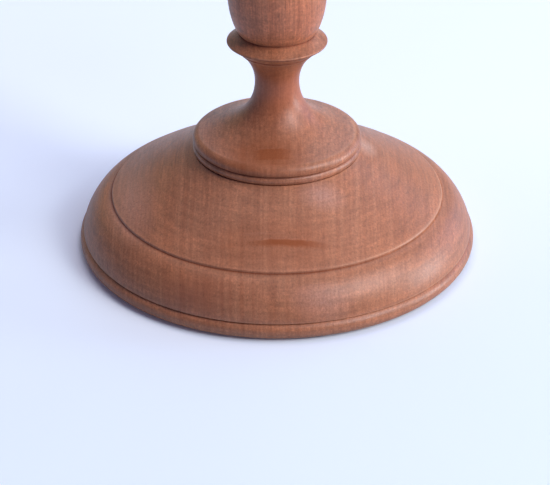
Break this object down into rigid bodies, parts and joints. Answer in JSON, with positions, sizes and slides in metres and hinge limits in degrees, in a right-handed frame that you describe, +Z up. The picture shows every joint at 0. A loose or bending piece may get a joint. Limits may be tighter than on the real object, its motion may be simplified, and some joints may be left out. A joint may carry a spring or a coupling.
{
  "type": "candle stand",
  "caption": "Turned wooden candle stand: moulded round base, spindle stem with collar and vase, flared candle cup and a drop-in brass nozzle for a household candle.",
  "frame": {"origin": "centre of the underside, on the surface that the stand rests on", "axes": "+Z up the turning axis; the stand is round, so +X and +Y are any two directions across it, and the picture looks along +Y"},
  "size_m": [0.12, 0.12, 0.2051],
  "materials": {
    "turned_wood": "oiled and buffed to a satin sheen, fine straight grain",
    "brass": "spun and polished, lightly aged",
    "dowel_wood": "plain birch dowel, sanded",
    "screw_steel": "zinc plated",
    "felt": "pressed wool baize"
  },
  "bodies": {
    "stand": {"base_plate": "turned_wood", "stem": "turned_wood", "candle_cup": "turned_wood", "cup_dowel": "dowel_wood", "base_screw": "screw_steel", "screw_washer": "screw_steel", "base_felt": "felt"},
    "nozzle": {"candle_nozzle": "brass"}
  },
  "joints": [
    {"name": "nozzle_lift", "type": "slide", "parent": "stand", "child": "nozzle", "axis": [0, 0, 1], "range_m": [0, 0.03]}
  ]
}
